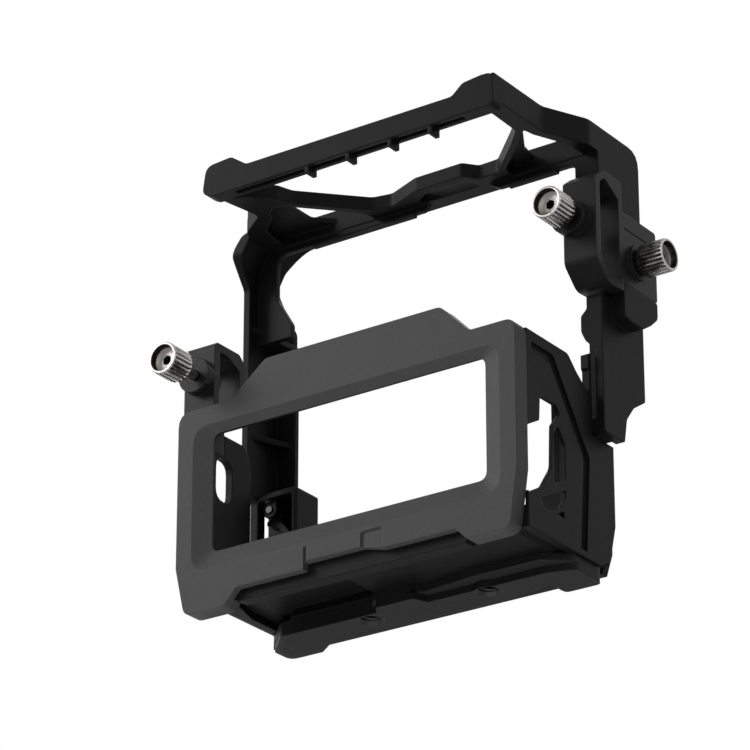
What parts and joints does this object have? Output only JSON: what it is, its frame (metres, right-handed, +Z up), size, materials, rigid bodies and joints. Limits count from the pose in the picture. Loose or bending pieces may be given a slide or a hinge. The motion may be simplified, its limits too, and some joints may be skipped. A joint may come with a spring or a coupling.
{
  "type": "video transmitter cage",
  "caption": "Black protective cage for a video transmitter with a framed window, a hinged top guard and two cable plug clamps with knurled thumbscrews.",
  "frame": {"origin": "on the plane that the base bar rests on, at the bezel's mid-width, on the line through the two tripod sockets", "axes": "+X to the right along the front, +Y away from the front, +Z up"},
  "size_m": [0.1265, 0.071, 0.127],
  "materials": {
    "cage_black": "fine moulded texture",
    "bezel_black": "fine moulded texture",
    "base_black": "fine moulded texture",
    "guard_black": "fine moulded texture",
    "clamp_black": "fine moulded texture",
    "dark_steel": "black oxide",
    "insert_steel": "dark plated",
    "pin_steel": "ground",
    "knob_steel": "nickel plated, knurled",
    "insert_brass": "turned",
    "pad_rubber": "matt"
  },
  "bodies": {
    "cage": {"lower_cage": "cage_black", "front_bezel": "bezel_black", "bezel_screws": "dark_steel", "base_bar": "base_black", "bar_screws": "dark_steel", "tripod_inserts": "insert_steel", "left_plug_clamp": "clamp_black", "left_clamp_insert": "insert_brass"},
    "guard": {"guard_frame": "guard_black", "rest_pads": "pad_rubber", "hinge_pin": "pin_steel", "side_lock_insert": "insert_brass"},
    "right_clamp": {"right_plug_clamp": "clamp_black", "right_clamp_insert": "insert_brass"},
    "lock_screw": {"side_lock_screw": "knob_steel", "side_screw_clip": "dark_steel"},
    "left_pad": {"left_press_pad": "pad_rubber"},
    "left_screw": {"left_press_screw": "knob_steel"},
    "right_pad": {"right_press_pad": "pad_rubber"},
    "right_screw": {"right_press_screw": "knob_steel"}
  },
  "joints": [
    {"name": "guard_hinge", "type": "hinge", "parent": "cage", "child": "guard", "pos_m": [-0.0511, 0.014, 0.0434], "axis": [0, -1, 0], "range_deg": [0, 95]},
    {"name": "right_clamp_slide", "type": "slide", "parent": "guard", "child": "right_clamp", "axis": [1, 0, 0], "range_m": [0, 0.005]},
    {"name": "lock_screw_turn", "type": "hinge", "parent": "right_clamp", "child": "lock_screw", "pos_m": [0.0655, 0.0197, 0.0901], "axis": [1, 0, 0], "range_deg": [0, 3600]},
    {"name": "left_pad_slide", "type": "slide", "parent": "cage", "child": "left_pad", "axis": [0, 1, 0], "range_m": [-0.002, 0.003]},
    {"name": "left_screw_turn", "type": "hinge", "parent": "left_pad", "child": "left_screw", "pos_m": [-0.0485, -0.035, 0.06879], "axis": [0, 1, 0], "range_deg": [-1440, 2160]},
    {"name": "right_pad_slide", "type": "slide", "parent": "right_clamp", "child": "right_pad", "axis": [0, 1, 0], "range_m": [-0.0025, 0.001]},
    {"name": "right_screw_turn", "type": "hinge", "parent": "right_pad", "child": "right_screw", "pos_m": [0.05327, -0.008, 0.0968], "axis": [0, 1, 0], "range_deg": [-1800, 720]}
  ],
  "couplings": [
    {"joint": "lock_screw_turn", "follows": "right_clamp_slide", "rad_per_m": 12566},
    {"joint": "left_screw_turn", "follows": "left_pad_slide", "rad_per_m": 12566},
    {"joint": "right_screw_turn", "follows": "right_pad_slide", "rad_per_m": 12566}
  ]
}
